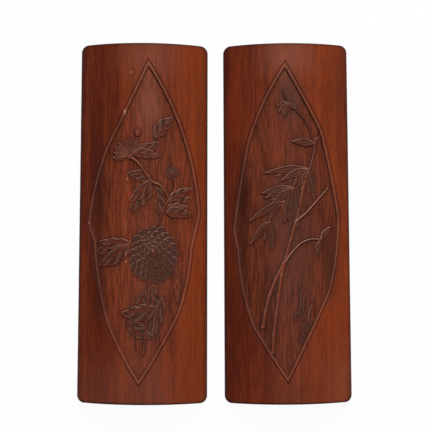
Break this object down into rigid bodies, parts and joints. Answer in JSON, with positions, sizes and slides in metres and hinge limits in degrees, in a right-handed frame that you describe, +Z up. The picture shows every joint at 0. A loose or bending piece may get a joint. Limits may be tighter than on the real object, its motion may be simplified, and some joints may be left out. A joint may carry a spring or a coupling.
{
  "type": "carved bamboo wrist rests",
  "caption": "Arched bamboo wrist rests for brush writing, carved in sunk relief with chrysanthemum and growing bamboo.",
  "frame": {"origin": "on the desk, under the middle of the pair as it lies side by side", "axes": "+X across the pair from the chrysanthemum rest to the bamboo rest, +Y along the grain towards the head of the pictures, +Z up through the carved faces"},
  "size_m": [0.1922, 0.2506, 0.0178],
  "materials": {
    "chrysanthemum_bamboo": "red-brown bamboo skin with a soft waxed shine, darker in the sunk carving",
    "bamboo_bamboo": "red-brown bamboo skin with a soft waxed shine, darker in the sunk carving"
  },
  "bodies": {
    "chrysanthemum_rest": {"chrysanthemum_wrist_rest": "chrysanthemum_bamboo"},
    "bamboo_rest": {"bamboo_wrist_rest": "bamboo_bamboo"}
  },
  "joints": [
    {"name": "bamboo_rest_lift", "type": "slide", "parent": "chrysanthemum_rest", "child": "bamboo_rest", "axis": [0, 0, 1], "range_m": [0, 0.1]}
  ]
}
